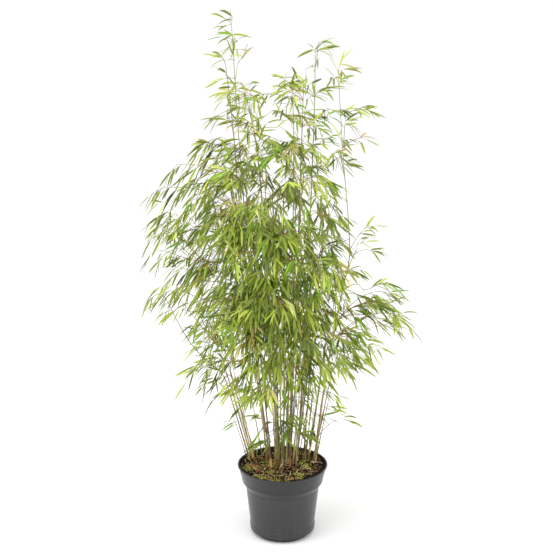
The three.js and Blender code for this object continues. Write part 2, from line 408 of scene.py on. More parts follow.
@dataclass
class Heap:
    """Many small shapes gathered into one mesh."""

    corners: list[np.ndarray] = field(default_factory=list)
    faces: list[tuple[int, ...]] = field(default_factory=list)
    slots: list[int] = field(default_factory=list)
    count: int = 0

    def add(
        self, corners: np.ndarray, faces: Iterable[Sequence[int]], slots: Iterable[int]
    ) -> None:
        """Adds one shape.

        Args:
            corners: its points, one row each.
            faces: its faces, numbered from its own first point.
            slots: each face's material slot.
        """
        start = self.count
        self.corners.append(corners)
        self.faces.extend(tuple(start + c for c in face) for face in faces)
        self.slots.extend(slots)
        self.count += len(corners)

    def build(
        self, name: str, materials: Sequence[bpy.types.Material], creased: bool = False
    ) -> bpy.types.Object:
        """Makes the mesh.

        Args:
            name: the piece's name.
            materials: its slots in order.
            creased: whether the middle one of each three points lies on a crease, as in a leaf.

        Returns:
            The new object.
        """
        mesh = bpy.data.meshes.new(name)
        mesh.from_pydata(np.concatenate(self.corners).tolist(), [], self.faces)
        for material in materials:
            mesh.materials.append(material)
        mesh.polygons.foreach_set("material_index", self.slots)
        mesh.polygons.foreach_set("use_smooth", [True] * len(self.faces))
        if creased:
            ends = np.empty(len(mesh.edges) * 2, np.int32)
            mesh.edges.foreach_get("vertices", ends)
            on_rib = (ends.reshape(-1, 2) % 3 == 1).all(axis=1)
            mesh.attributes.new("sharp_edge", "BOOLEAN", "EDGE").data.foreach_set("value", on_rib)
        mesh.update()
        return show(mesh)


def show(mesh: bpy.types.Mesh) -> bpy.types.Object:
    """Puts a mesh in the scene as an object of the same name."""
    made = bpy.data.objects.new(mesh.name, mesh)
    bpy.context.scene.collection.objects.link(made)
    return made


def gather(whole: bmesh.types.BMesh, part: bmesh.types.BMesh) -> None:
    """Moves a part's geometry into a larger bmesh, and frees the part."""
    passing = bpy.data.meshes.new("passing")
    part.to_mesh(passing)
    part.free()
    whole.from_mesh(passing)
    bpy.data.meshes.remove(passing)


def finished(
    made: bmesh.types.BMesh, name: str, materials: Sequence[bpy.types.Material], smooth: bool = True
) -> bpy.types.Mesh:
    """Ends a bmesh as a mesh.

    Args:
        made: the bmesh, which is freed.
        name: the mesh's name.
        materials: its slots in order.
        smooth: whether its faces are shaded smooth.

    Returns:
        The mesh.
    """
    for face in made.faces:
        face.smooth = smooth
    mesh = bpy.data.meshes.new(name)
    made.to_mesh(mesh)
    made.free()
    for material in materials:
        mesh.materials.append(material)
    return mesh


def settle(piece: bpy.types.Object, nodes: Sequence[str] = ()) -> bpy.types.Object:
    """Ties a finished piece to the frame.

    Args:
        piece: the piece.
        nodes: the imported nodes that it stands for.

    Returns:
        The piece.
    """
    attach(piece, "root")
    if nodes:
        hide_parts(*nodes)
    LOG.info("%s: %d faces, stands for %d nodes", piece.name, len(piece.data.polygons), len(nodes))
    return piece


def tube(heap: Heap, path: np.ndarray, radii: np.ndarray, sides: int, slot: int) -> None:
    """Adds a closed tapering tube along a path to a heap.

    Args:
        heap: the heap.
        path: the centre line, one row a point.
        radii: the radius at each point.
        sides: how many sides the tube has.
        slot: its material slot.
    """
    tangent = unit(np.gradient(path, axis=0))
    overall = unit(path[-1] - path[0])
    reference = np.eye(3)[np.argmin(np.abs(overall))]
    side = unit(np.cross(tangent, reference))
    other = np.cross(tangent, side)
    turn = (np.arange(sides) * (2 * math.pi / sides))[None, :, None]
    ring = side[:, None, :] * np.cos(turn) + other[:, None, :] * np.sin(turn)
    corners = (path[:, None, :] + ring * radii[:, None, None]).reshape(-1, 3)
    faces: list[tuple[int, ...]] = [tuple(reversed(range(sides)))]
    for low in range(0, (len(path) - 1) * sides, sides):
        for k in range(sides):
            after = (k + 1) % sides
            faces.append((low + k, low + after, low + sides + after, low + sides + k))
    last = (len(path) - 1) * sides
    faces.append(tuple(range(last, last + sides)))
    heap.add(corners, faces, [slot] * len(faces))


@dataclass(frozen=True)
class Blade:
    """One leaf as numbers.

    root: where it joins its twig. heading: which way it sets out. facing: roughly the way its upper
    side looks. length and width: its greatest. sag: how far its tip turns down, 0 for none and 1
    for about 45 degrees. slot: its material slot.
    """

    root: np.ndarray
    heading: np.ndarray
    facing: np.ndarray
    length: float
    width: float
    sag: float
    slot: int


@dataclass
class Blades:
    """Leaves of one kind, kept as numbers until they are made into a mesh."""

    each: list[Blade] = field(default_factory=list)
    stations: tuple[float, ...] = (0, 0.05, 0.17, 0.38, 0.62, 0.84, 1)
    outline: tuple[float, ...] = (0.1, 0.2, 0.84, 1, 0.93, 0.58, 0.03)
    fold: float = math.radians(22)

    def column(self, part: str) -> np.ndarray:
        """One of the numbers of every leaf, ready to spread over the stations."""
        return np.array([getattr(leaf, part) for leaf in self.each]).reshape(len(self.each), 1, -1)

    def shape(self) -> np.ndarray:
        """The corners of every leaf: leaf, station, then left edge, rib and right edge."""
        at = np.array(self.stations)[None, :, None]
        way = unit(unit(self.column("heading")) - UP * self.column("sag") * at**1.4)
        steps = np.diff(at, axis=1) * 0.5 * (way[:, 1:] + way[:, :-1])
        rib = np.concatenate([np.zeros_like(way[:, :1]), np.cumsum(steps, axis=1)], axis=1)
        rib = rib * self.column("length") + self.column("root")
        side = unit(np.cross(way, self.column("facing")))
        above = np.cross(side, way)
        half = 0.5 * self.column("width") * np.array(self.outline)[None, :, None]
        lift = above * half * math.sin(self.fold)
        reach = side * half * math.cos(self.fold)
        return np.stack([rib + lift - reach, rib, rib + lift + reach], axis=2)

    def within(self, low: np.ndarray, high: np.ndarray) -> int:
        """Drops the leaves that would reach outside a box.

        Args:
            low: the box's lowest corner.
            high: its highest corner.

        Returns:
            How many were dropped.
        """
        corners = self.shape().reshape(len(self.each), -1, 3)
        keep = ((corners > low) & (corners < high)).all(axis=(1, 2))
        self.each = [leaf for leaf, kept in zip(self.each, keep) if kept]
        return int((~keep).sum())

    def build(self, name: str, materials: Sequence[bpy.types.Material]) -> bpy.types.Object:
        """Joins the leaves into one mesh of that name and those slots."""
        firsts = [3 * row + half for row in range(len(self.stations) - 1) for half in (0, 1)]
        pattern = [(first, first + 1, first + 4, first + 3) for first in firsts]
        heap = Heap()
        for leaf, corners in zip(self.each, self.shape()):
            heap.add(corners.reshape(-1, 3), pattern, [leaf.slot] * len(pattern))
        return heap.build(name, materials, creased=True)


# --------------------------------------------------------------------------- canes


def smooth_line(points: np.ndarray, step: float) -> tuple[np.ndarray, np.ndarray]:
    """A smooth curve through points.

    Args:
        points: the points that it goes through, one row each.
        step: the distance between the curve's own points.

    Returns:
        The curve's points, and for each of them its place among the given points as a number.
    """
    ends = np.vstack([2 * points[0] - points[1], points, 2 * points[-1] - points[-2]])
    curve, places = [], []
    for k in range(len(points) - 1):
        before, here, after, beyond = ends[k:k + 4]
        span = float(np.linalg.norm(after - here))
        lead_in = span / max(float(np.linalg.norm(here - before)), 1e-6)
        lead_out = span / max(float(np.linalg.norm(beyond - after)), 1e-6)
        leave = ((after - here) + (here - before) * lead_in) / (1 + lead_in)
        arrive = ((after - here) + (beyond - after) * lead_out) / (1 + lead_out)
        count = max(2, round(span / step))
        last = k == len(points) - 2
        t = np.linspace(0, 1, count + 1)[: None if last else -1, None]
        curve.append(
            (2 * t**3 - 3 * t**2 + 1) * here + (t**3 - 2 * t**2 + t) * leave
            + (3 * t**2 - 2 * t**3) * after + (t**3 - t**2) * arrive
        )
        places.append(k + t[:, 0])
    return np.vstack(curve), np.concatenate(places)


@dataclass
class Stem:
    """A cane or a bough as a centre line with a radius at each of its points."""

    name: str
    line: np.ndarray
    radii: np.ndarray
    joints: list[int] = field(default_factory=list)
    step: float = 0.004
    widest: ClassVar[float] = 2.9 * MM
    slimness: ClassVar[float] = 0.78
    ring_gap: ClassVar[float] = 7.5 * MM

    @classmethod
    def of_node(cls, node: str, near: np.ndarray | None = None) -> "Stem":
        """Finds a packed limb's centre line from the rings of corners that its mesh is made of.

        Args:
            node: the limb's node.
            near: points that it starts beside, or nothing where it starts at its lowest end.

        Returns:
            The stem.
        """
        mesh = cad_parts[node].data
        corners = np.unique(np.round(np.array([v.co[:] for v in mesh.vertices], float), 5), axis=0)
        left, rings = list(range(len(corners))), []
        while left:
            ring = [left.pop(0)]
            for at in ring:
                gaps = np.linalg.norm(corners[left] - corners[at], axis=1)
                close = [k for k, gap in zip(left, gaps) if gap < cls.ring_gap]
                left = [k for k in left if k not in close]
                ring.extend(close)
            rings.append(corners[ring])
        centres = np.array([ring.mean(axis=0) for ring in rings])
        if near is None:
            at = int(np.argmin(centres[:, 2]))
        else:
            gaps = np.linalg.norm(centres[:, None] - near[None], axis=2).min(axis=1)
            at = int(np.argmin(gaps))
        order, rest = [at], [k for k in range(len(rings)) if k != at]
        while rest:
            order.append(min(rest, key=lambda k: np.linalg.norm(centres[k] - centres[order[-1]])))
            rest.remove(order[-1])
        line, places = smooth_line(centres[order], cls.step)
        ways = unit(np.gradient(centres[order], axis=0))
        sizes = [
            float(np.median(np.linalg.norm(np.cross(rings[k] - centres[k], way), axis=1)))
            for k, way in zip(order, ways)
        ]
        sizes = np.minimum(sizes, cls.widest) * cls.slimness
        return cls(node, line, np.interp(places, range(len(order)), sizes))

    def run_on(self, tip: np.ndarray, radius: float) -> None:
        """Lengthens the stem in a smooth bend to a tip of the given radius."""
        start = self.line[-1]
        way = unit(self.line[-1] - self.line[-6])
        reach = float(np.linalg.norm(tip - start))
        count = max(4, round(reach / self.step))
        t = np.linspace(0, 1, count + 1)[1:, None]
        middle = start + way * reach * 0.55
        more = (1 - t) ** 2 * start + 2 * t * (1 - t) * middle + t**2 * tip
        self.line = np.vstack([self.line, more])
        thinning = self.radii[-1] + (radius - self.radii[-1]) * t[:, 0]
        self.radii = np.concatenate([self.radii, thinning])

    def mark_joints(self, rng: np.random.Generator, low: float, high: float) -> None:
        """Spaces the joints at random between two distances."""
        at = rng.uniform(0.3, 1.0) * low
        while at < self.step * (len(self.line) - 3):
            self.joints.append(int(at / self.step))
            at += rng.uniform(low, high)

    def way(self, at: int) -> np.ndarray:
        """The stem's direction at one of its points."""
        return unit(self.line[min(at + 2, len(self.line) - 1)] - self.line[max(at - 2, 0)])


@dataclass
class CaneSkin:
    """Builds a cane's surface, ring by ring, with the swollen double ridge at each joint."""

    sides: int = 9
    between: float = 14 * MM
    ridge: tuple[tuple[float, float], ...] = (
        (-4.0 * MM, 1.0), (-1.3 * MM, 1.20), (-0.2 * MM, 1.0), (0.9 * MM, 1.26), (3.6 * MM, 1.0)
    )

    def stations(self, stem: Stem) -> list[tuple[float, float]]:
        """Where along a stem its rings go, and how much wider than plain each ring is."""
        length = stem.step * (len(stem.line) - 1)
        marks = [(0.0, 1.0), (length, 0.7)]
        edges = [0.0, *(j * stem.step for j in stem.joints), length]
        for start, end in zip(edges, edges[1:]):
            steps = max(2, round((end - start) / self.between))
            marks += [(start + (end - start) * k / steps, 0.96) for k in range(1, steps)]
        for joint in stem.joints:
            marks += [(joint * stem.step + shift, wide) for shift, wide in self.ridge]
        marks = sorted(m for m in marks if 0 <= m[0] <= length)
        kept = [marks[0]]
        for mark in marks[1:]:
            if mark[0] - kept[-1][0] > 0.8 * MM:
                kept.append(mark)
        return kept

    def build(self, stem: Stem) -> bmesh.types.BMesh:
        """Extrudes a ring along the stem.

        Args:
            stem: the stem.

        Returns:
            A new bmesh that holds the closed cane.
        """
        made = bmesh.new()
        marks = self.stations(stem)
        along = np.arange(len(stem.line)) * stem.step
        spots = np.array([m[0] for m in marks])
        centres = np.stack([np.interp(spots, along, stem.line[:, k]) for k in range(3)], axis=1)
        radii = np.interp(spots, along, stem.radii) * np.array([m[1] for m in marks])
        ways = [Vector(w) for w in unit(np.gradient(centres, axis=0))]
        turned = ways[0].to_track_quat("Z", "Y").to_matrix().to_4x4()
        ring = bmesh.ops.create_circle(
            made, cap_ends=True, segments=self.sides, radius=radii[0],
            matrix=Matrix.Translation(centres[0]) @ turned,
        )["verts"]
        edges = list({edge for vert in ring for edge in vert.link_edges})
        for k in range(1, len(marks)):
            grown = bmesh.ops.extrude_edge_only(made, edges=edges)["geom"]
            ring = [g for g in grown if isinstance(g, bmesh.types.BMVert)]
            edges = [
                g for g in grown
                if isinstance(g, bmesh.types.BMEdge) and all(vert in ring for vert in g.verts)
            ]
            turn = ways[k - 1].rotation_difference(ways[k]).to_matrix().to_4x4()
            move = (
                Matrix.Translation(centres[k]) @ turn @ Matrix.Scale(radii[k] / radii[k - 1], 4)
                @ Matrix.Translation(-Vector(centres[k - 1]))
            )
            bmesh.ops.transform(made, matrix=move, verts=ring)
        bmesh.ops.contextual_create(made, geom=edges)
        bmesh.ops.recalc_face_normals(made, faces=made.faces)
        return made


@dataclass
class Clump:
    """Every cane and bough of the plant.

    leader_joints, cane_joints and bough_joints: the shortest and longest way between joints.
    run_on: how far a cane grows on past its packed end, in up to so many attempts. tip_radius: its
    radius there. shoots: how many young shoots stand beside the canes. shoot_gap: how far off, in
    millimetres. shoot_part: how much of the cane's length they reach. shoot_lean: how far they lean
    away. barks: the finishes, dealt out in turn.
    """

    leader_joints: tuple[float, float] = (0.048, 0.078)
    cane_joints: tuple[float, float] = (0.05, 0.09)
    bough_joints: tuple[float, float] = (0.03, 0.05)
    run_on: tuple[float, float] = (0.05, 0.14)
    tip_radius: float = 0.8 * MM
    shoots: int = 34
    shoot_radius: tuple[float, float] = (1.2 * MM, 2.0 * MM)
    shoot_lean: float = 16 * MM
    shoot_gap: tuple[float, float] = (7, 17)
    shoot_part: tuple[float, float] = (0.35, 0.8)
    attempts: int = 12
    barks: tuple[Bark, ...] = (
        Bark(
            "tan", low=from_screen(158, 138, 88), high=from_screen(146, 146, 78),
            stain=from_screen(104, 82, 52),
        ),
        Bark(
            "olive", low=from_screen(130, 124, 70), high=from_screen(128, 136, 64),
            stain=from_screen(86, 78, 42),
        ),
        Bark(
            "straw", low=from_screen(188, 174, 118), high=from_screen(164, 164, 94),
            stain=from_screen(136, 110, 68),
        ),
        Bark(
            "plum", low=from_screen(108, 84, 62), high=from_screen(120, 108, 66),
            stain=from_screen(76, 56, 44), turns_at=0.6,
        ),
    )
    stems: dict[str, Stem] = field(default_factory=dict)
    skin: CaneSkin = field(default_factory=CaneSkin)

    def trace(self, masses: "Masses", rng: np.random.Generator) -> None:
        """Finds every stem from its node, and lets the shorter ones grow on into the leaves.

        Args:
            masses: the leafy masses, which the tips stay inside.
            rng: the source of chance.
        """
        for node in sorted(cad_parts):
            if node.startswith(("leader_", "cane_")):
                stem = Stem.of_node(node)
                if node.startswith("cane_"):
                    self.lengthen(stem, masses, rng)
                leads = node.startswith("leader")
                stem.mark_joints(rng, *(self.leader_joints if leads else self.cane_joints))
                self.stems[node] = stem
        self.sprout(rng)
        every = np.vstack([stem.line for stem in self.stems.values()])
        for node in sorted(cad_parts):
            if node.startswith("branch_"):
                stem = Stem.of_node(node, every)
                stem.mark_joints(rng, *self.bough_joints)
                self.stems[node] = stem

    def sprout(self, rng: np.random.Generator) -> None:
        """Adds thin young shoots that stand beside the canes and lean a little their own way."""
        canes = [s for n, s in self.stems.items() if n.startswith("cane_")]
        for number in range(self.shoots):
            beside = canes[int(rng.integers(0, len(canes)))]
            count = int(len(beside.line) * rng.uniform(*self.shoot_part))
            along = np.linspace(0, 1, count)[:, None]
            foot, lean = rng.uniform(-1, 1, 3), rng.normal(0, 1, 3)
            foot[2] = lean[2] = 0
            line = beside.line[:count] + unit(foot) * rng.uniform(*self.shoot_gap) * MM
            line = line + (lean * along + 0.3 * unit(foot) * along**2) * self.shoot_lean
            radii = np.linspace(rng.uniform(*self.shoot_radius), 0.6 * MM, count)
            stem = Stem(f"shoot_{number + 1}", line, radii)
            stem.mark_joints(rng, *self.cane_joints)
            self.stems[stem.name] = stem

    def lengthen(self, stem: Stem, masses: "Masses", rng: np.random.Generator) -> None:
        """Grows a cane on past its packed end, up and a little outwards, while it stays in leaf."""
        end = stem.line[-1]
        outward = unit(end * LEVEL + 1e-6)
        for _ in range(self.attempts):
            reach = rng.uniform(*self.run_on)
            lean = outward * rng.uniform(0.1, 0.5) + rng.normal(0, 0.16, 3)
            tip = end + unit(stem.way(len(stem.line) - 1) + lean) * reach
            if masses.holding(tip):
                stem.run_on(tip, self.tip_radius)
                return

    def build(self) -> None:
        """Makes one piece for each leader, each bundle of thinner canes and the boughs."""
        materials = [bark.make() for bark in self.barks]
        groups: dict[str, list[str]] = {}
        for name in self.stems:
            parts = name.split("_")
            shared = {"branch": "boughs", "shoot": "shoots", "cane": f"canes_{parts[1]}"}
            groups.setdefault(shared.get(parts[0], name), []).append(name)
        for number, (group, names) in enumerate(groups.items()):
            whole = bmesh.new()
            for k, name in enumerate(names):
                one = self.skin.build(self.stems[name])
                slot = (number + k * 3) % len(self.barks)
                for face in one.faces:
                    face.material_index = slot
                gather(whole, one)
            mesh = finished(whole, f"{group}_wood", materials)
            settle(show(mesh), [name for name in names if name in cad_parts])


# --------------------------------------------------------------------------- leaves


class Habit(Enum):
    """How a part of the plant bears its leaves."""

    SPIRE = "spire"
    ARCH = "arch"
    CURTAIN = "curtain"
    SIDE = "side"
    LOBE = "lobe"
    SKIRT = "skirt"


@dataclass(frozen=True)
class Growth:
    """The numbers of one habit.

    branches: how many branches to a litre. length and width: a leaf's. drop: how strongly its
    heading turns down. spread: the widest angle between a leaf and its twig, in degrees. sunny: how
    much likelier the paler greens are. lift: how far twigs stand over the mass that their leaves
    hang down into. stray: how far leaves turn out of line. gap: between twigs. twig: its length.
    leaves: how many to a twig. sag: how much a leaf's tip turns down. leafy: how far back from its
    tip a branch bears twigs.
    """

    branches: float
    length: tuple[float, float]
    width: tuple[float, float]
    drop: float
    spread: float
    sunny: float
    lift: float
    stray: float
    gap: tuple[float, float] = (0.017, 0.026)
    twig: tuple[float, float] = (0.020, 0.044)
    leaves: tuple[int, int] = (3, 4)
    sag: tuple[float, float] = (0.1, 0.5)
    leafy: float = 0.08


GROWTHS = {
    Habit.SPIRE: Growth(
        branches=5.0, length=(0.028, 0.050), width=(0.0048, 0.0066), drop=0.30, spread=62,
        sunny=1.4, lift=0.010, stray=0.20, gap=(0.017, 0.028), twig=(0.012, 0.030), leaves=(2, 3),
        sag=(0.1, 0.9), leafy=0.07,
    ),
    Habit.ARCH: Growth(
        branches=7.0, length=(0.030, 0.055), width=(0.0048, 0.0069), drop=0.65, spread=54,
        sunny=1.3, lift=0.016, stray=0.26, twig=(0.018, 0.042), sag=(0.1, 0.6),
    ),
    Habit.CURTAIN: Growth(
        branches=15.5, length=(0.030, 0.055), width=(0.0044, 0.0067), drop=0.80, spread=54,
        sunny=0.8, lift=0.030, stray=0.34, gap=(0.016, 0.024), twig=(0.022, 0.048), leaves=(3, 5),
    ),
    Habit.SIDE: Growth(
        branches=5.3, length=(0.033, 0.059), width=(0.0050, 0.0071), drop=1.10, spread=44,
        sunny=1.1, lift=0.034, stray=0.18,
    ),
    Habit.LOBE: Growth(
        branches=6.2, length=(0.036, 0.066), width=(0.0054, 0.0076), drop=0.58, spread=46,
        sunny=1.1, lift=0.023, stray=0.16, gap=(0.018, 0.027), leafy=0.09,
    ),
    Habit.SKIRT: Growth(
        branches=9.2, length=(0.032, 0.057), width=(0.0045, 0.0066), drop=0.90, spread=46,
        sunny=1.1, lift=0.034, stray=0.22, twig=(0.020, 0.046),
    ),
}
FULLNESS = {
    "front_upper": 1.15, "front_middle": 1.25, "front_right_upper": 0.55, "front_right_lower": 0.75,
    "back_right_upper": 0.75, "back_right_lower": 0.8,
    "crown_left": 1.0, "crown_left_arch": 0.52, "crown_middle": 1.3, "crown_right": 0.75,
    "tuft_left_tall": 0.6, "tuft_left_neck": 0.6, "tuft_right_tall": 0.65, "tuft_right_side": 0.5,
    "sprig_right": 0.5, "sprig_right_low": 0.6,
    "left_upper": 1.0, "left_middle": 1.0, "left_lower": 0.65,
    "right_upper": 0.45, "right_lobe": 1.35, "right_lower": 0.7,
}


@dataclass
class Mass:
    """One packed leafy mass: its shape for inside tests, and how it bears its leaves."""

    name: str
    tree: BVHTree
    low: np.ndarray
    high: np.ndarray
    litres: float
    habit: Habit
    most_walls: ClassVar[int] = 20
    tries: ClassVar[int] = 200

    @classmethod
    def of_node(cls, node: str) -> "Mass":
        """Reads a mass from its node."""
        shape = bmesh.new()
        shape.from_mesh(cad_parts[node].data)
        bmesh.ops.remove_doubles(shape, verts=shape.verts, dist=1e-5)
        low, high = (np.array(corner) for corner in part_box(node))
        litres = abs(shape.calc_volume(signed=False)) * 1000
        tree = BVHTree.FromBMesh(shape)
        shape.free()
        name = node.removeprefix("foliage_")
        if name.startswith(("tuft", "sprig")):
            habit = Habit.SPIRE
        elif name.startswith("crown") and not name.endswith("arch"):
            habit = Habit.ARCH
        elif name.endswith("lobe"):
            habit = Habit.LOBE
        elif name.endswith("lower"):
            habit = Habit.SKIRT
        elif name.startswith("front"):
            habit = Habit.CURTAIN
        else:
            habit = Habit.SIDE
        return cls(name, tree, low, high, litres, habit)

    def holds(self, point: np.ndarray) -> bool:
        """Whether a point is inside, by the number of walls over it."""
        if (point < self.low).any() or (point > self.high).any():
            return False
        crossed, at = 0, Vector(point)
        while crossed < self.most_walls:
            hit, _, _, _ = self.tree.ray_cast(at, Vector((0, 0, 1)))
            if hit is None:
                break
            crossed += 1
            at = hit + Vector((0, 0, 1e-5))
        return crossed % 2 == 1

    def sample(self, rng: np.random.Generator) -> np.ndarray:
        """A point inside, by chance."""
        for _ in range(self.tries):
            point = rng.uniform(self.low, self.high)
            if self.holds(point):
                return point
        return (self.low + self.high) / 2


@dataclass
class Masses:
    """All the leafy masses."""

    each: list[Mass] = field(default_factory=list)

    @classmethod
    def of_frame(cls) -> "Masses":
        """Reads them all, in the order of their names."""
        return cls([Mass.of_node(n) for n in sorted(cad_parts) if n.startswith("foliage_")])

    def holding(self, point: np.ndarray) -> bool:
        """Whether any mass holds the point."""
        return any(mass.holds(point) for mass in self.each)


@dataclass
class Grown:
    """One piece of the crown while it grows: its habit, source of chance, leaves and twigs."""

    growth: Growth
    rng: np.random.Generator
    blades: Blades = field(default_factory=Blades)
    twigs: Heap = field(default_factory=Heap)


@dataclass
class Foliage:
    """Grows branches, twigs and leaves from the joints into each mass.

    bare_below and thins_at: the heights between which the leaders bear side twigs. heart: the
    lowest and highest point of the crown's heart. hem: the lowest height of a spray under it.
    top_share, heart_share and hem_share: how many joints bear something over, in and under it.
    heart_reach and leader_reach: how long side twigs are. branch_step: between a branch's points.
    twig_ends: a twig's radius at its foot and its tip, in millimetres. choices: how many places are
    tried for a branch's tip. sink_cost and flat_cost: how much a joint over the tip, and a flat run
    to it, count against a joint. whim: how far chance may change that. hangs_from: the drop past
    which some leaves are larger. outsize and outsize_share: how much larger, and how many of them.
    same_green: how often a leaf has the green of its spray.
    """

    clump: Clump
    masses: Masses
    limit_low: np.ndarray
    limit_high: np.ndarray
    bare_below: float = 0.94
    thins_at: float = 1.13
    heart: tuple[float, float] = (0.40, 1.02)
    heart_reach: tuple[float, float] = (0.03, 0.09)
    leader_reach: tuple[float, float] = (0.03, 0.085)
    top_share: float = 0.45
    heart_share: float = 0.34
    hem: float = 0.25
    hem_share: float = 0.36
    branch_step: float = 0.006
    twig_ends: tuple[float, float] = (0.6, 0.35)
    choices: int = 6
    sink_cost: float = 1.6
    flat_cost: float = 0.35
    whim: float = 0.03
    hangs_from: float = 0.85
    outsize: float = 1.3
    outsize_share: float = 0.12
    same_green: float = 0.7
    greens: tuple[Plain, ...] = tuple(
        Plain(f"leaf_{leaf.name.lower()}", leaf.tint, roughness=0.42, shine=0.5) for leaf in Leaf
    )
    barks: tuple[Plain, ...] = (
        Plain("twig_tan", from_screen(176, 148, 98)),
        Plain("twig_olive", from_screen(146, 142, 72)),
        Plain("twig_brown", from_screen(134, 98, 68)),
    )
    leaf_total: int = 0

    def __post_init__(self) -> None:
        """Gathers every joint that a branch may start from."""
        bearing = [stem for stem in self.clump.stems.values() if stem.joints]
        self.anchors = np.vstack([stem.line[stem.joints] for stem in bearing])
        self.anchor_ways = np.vstack([[stem.way(j) for j in stem.joints] for stem in bearing])

    def bark(self, rng: np.random.Generator) -> int:
        """Picks a bark for a twig, and returns its slot."""
        return int(rng.integers(0, len(self.barks)))

    def deal(self, grown: Grown) -> int:
        """Picks a green for a spray, and returns its slot."""
        shares = np.array([leaf.share for leaf in Leaf])
        paleness = np.array([sum(leaf.tint) for leaf in Leaf])
        shares = shares * (paleness / paleness.mean()) ** (grown.growth.sunny - 1)
        return int(grown.rng.choice(len(shares), p=shares / shares.sum()))

    def branch(self, mass: Mass, tip: np.ndarray, rng: np.random.Generator) -> np.ndarray:
        """A branch's line from the best joint to a tip.

        Args:
            mass: the mass that it grows into; not used.
            tip: where it ends.
            rng: the source of chance.

        Returns:
            The line's points, about 6 mm apart.
        """
        away = tip - self.anchors
        reach = np.linalg.norm(away, axis=1)
        drop = np.maximum(self.anchors[:, 2] - tip[2] + 0.02, 0)
        flat = np.maximum(0.6 * np.linalg.norm(away[:, :2], axis=1) - away[:, 2], 0)
        cost = reach + self.sink_cost * drop + self.flat_cost * flat
        best = int(np.argmin(cost + rng.uniform(0, self.whim, len(reach))))
        start, span = self.anchors[best], reach[best]
        outward = unit((tip - start) * LEVEL + 1e-6)
        rise = start + (self.anchor_ways[best] * 0.35 + outward * 0.2 + UP * 0.1) * span
        fall = tip + (UP * rng.uniform(-0.24, 0.16) - outward * 0.22) * span
        fall = fall + rng.normal(0, 0.05, 3) * span
        t = np.linspace(0, 1, max(5, round(span / self.branch_step)))[:, None]
        line = (1 - t) ** 3 * start + 3 * t * (1 - t) ** 2 * rise
        line = line + 3 * t**2 * (1 - t) * fall + t**3 * tip
        return np.clip(line, self.limit_low, self.limit_high)

    def spray(self, at: np.ndarray, way: np.ndarray, side: float, grown: Grown) -> None:
        """Adds a twig and its fan of leaves.

        Args:
            at: where it leaves its branch.
            way: the branch's direction there.
            side: 1 or -1 for the side that it leaves on, or 0 where it ends the branch.
            grown: the piece that it belongs to.
        """
        growth, rng = grown.growth, grown.rng
        outward = unit((at + rng.normal(0, 0.035, 3)) * LEVEL)
        across = unit(np.cross(way, UP) + 1e-6) * side
        lean = way * 0.6 + across * 0.7 + outward * 0.35 - UP * growth.drop * 0.3
        heading = unit(lean + rng.normal(0, 0.28, 3))
        count = int(rng.integers(growth.leaves[0], growth.leaves[1] + 1))
        length = rng.uniform(*growth.twig)
        t = np.linspace(0, 1, count + 1)[:, None]
        line = at + heading * length * t - UP * length * 0.3 * growth.drop * t**2
        if not ((line > self.limit_low).all() and (line < self.limit_high).all()):
            return
        radii = np.linspace(*self.twig_ends, len(line)) * MM
        tube(grown.twigs, line, radii, sides=3, slot=self.bark(rng))
        plane = unit(np.cross(heading, outward * 0.6 + UP * 0.8 + rng.normal(0, 0.35, 3)))
        green = self.deal(grown)
        sign = 1.0 if rng.random() < 0.5 else -1.0
        for k in range(count):
            last = k == count - 1
            part = rng.uniform(-0.25, 0.25) if last else rng.uniform(0.45, 1)
            angle = math.radians(growth.spread) * part
            fan = heading * math.cos(angle) + plane * math.sin(angle) * sign
            fall = UP * growth.drop * rng.uniform(0.55, 1.25)
            aim = unit(fan * 0.8 + outward * 0.3 - fall + rng.normal(0, growth.stray, 3))
            facing = unit(UP * 0.5 + outward * 0.6 + rng.normal(0, 0.42, 3))
            if abs(float(facing @ aim)) > 0.9:
                facing = unit(outward + rng.normal(0, 0.2, 3))
            low, high = growth.length
            hangs = growth.drop > self.hangs_from
            large = self.outsize if hangs and rng.random() < self.outsize_share else 1.0
            blade = (low + (high - low) * rng.random()) * large
            tone = green if rng.random() < self.same_green else self.deal(grown)
            width, sag = rng.uniform(*growth.width) * large, rng.uniform(*growth.sag)
            grown.blades.each.append(Blade(line[k + 1], aim, facing, blade, width, sag, tone))
            sign = -sign

    def fill(self, mass: Mass, grown: Grown) -> None:
        """Grows everything that one mass holds.

        Args:
            mass: the mass.
            grown: its piece.
        """
        growth, rng = grown.growth, grown.rng
        tips: list[np.ndarray] = []
        wanted = max(3, round(mass.litres * growth.branches * FULLNESS.get(mass.name, 1.0)))
        for _ in range(wanted):
            options = [mass.sample(rng) + UP * growth.lift for _ in range(self.choices)]
            if tips:
                held = np.array(tips)
                options.sort(key=lambda p: -float(np.linalg.norm(held - p, axis=1).min()))
            tips.append(options[0])
        for tip in tips:
            line = self.branch(mass, tip, rng)
            length = float(np.linalg.norm(np.diff(line, axis=0), axis=1).sum())
            some = line[:: max(1, len(line) // 8)]
            some = np.vstack([some, line[-1:]]) if not np.allclose(some[-1], line[-1]) else some
            base = min(1.25, 0.65 + length * 3) * MM
            radii = np.linspace(base, 0.5 * MM, len(some))
            tube(grown.twigs, some, radii, sides=5, slot=self.bark(rng))
            along = np.concatenate([[0], np.cumsum(np.linalg.norm(np.diff(line, axis=0), axis=1))])
            at, side = max(length * 0.2, length - growth.leafy * rng.uniform(0.7, 1.3)), 1.0
            while at < length:
                k = int(np.searchsorted(along, at))
                here = line[min(k, len(line) - 1)]
                way = unit(line[min(k + 1, len(line) - 1)] - line[max(k - 1, 0)])
                if self.masses.holding(here - UP * growth.lift):
                    self.spray(here, way, side, grown)
                at += rng.uniform(*growth.gap)
                side = -side
            self.spray(line[-1], unit(line[-1] - line[-3]), 0.0, grown)

